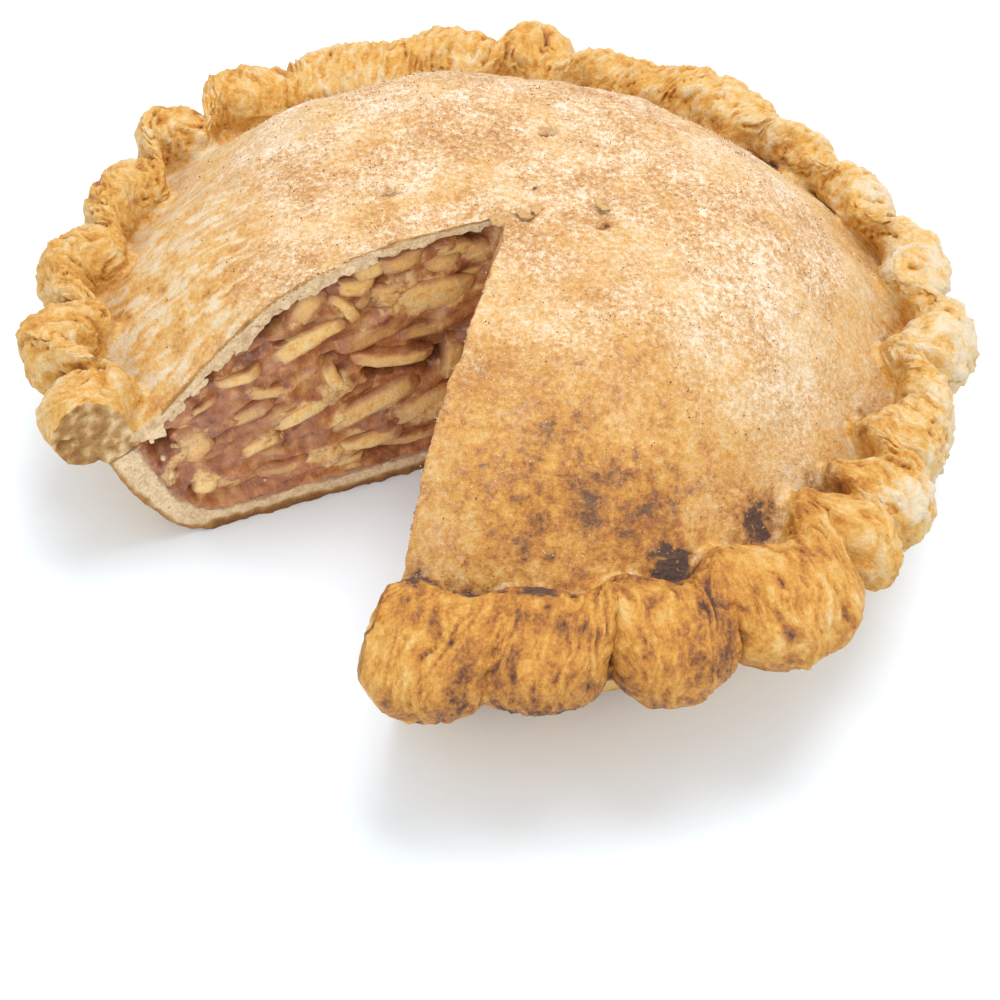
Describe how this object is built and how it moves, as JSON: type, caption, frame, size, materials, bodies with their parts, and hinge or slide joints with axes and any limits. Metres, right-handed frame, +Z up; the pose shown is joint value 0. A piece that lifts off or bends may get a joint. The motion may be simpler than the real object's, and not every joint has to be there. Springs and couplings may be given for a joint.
{
  "type": "apple pie",
  "caption": "Domed double-crust fruit pie with a fluted rim, one wedge cut out to show the sliced fruit filling.",
  "frame": {"origin": "under the middle of the pie's outline, on the surface it stands on", "axes": "+Z up through the lid, -Y towards the side that the wedge was taken from, +X to the right of a person standing on that side"},
  "size_m": [0.2528, 0.2611, 0.0878],
  "materials": {
    "pale_crust": "matt baked pastry",
    "fruit_sauce": "moist, glossy cooked fruit",
    "golden_crust": "matt golden pastry"
  },
  "bodies": {
    "root": {"bottom_crust": "pale_crust", "fruit_filling": "fruit_sauce", "top_crust": "golden_crust"}
  },
  "joints": []
}
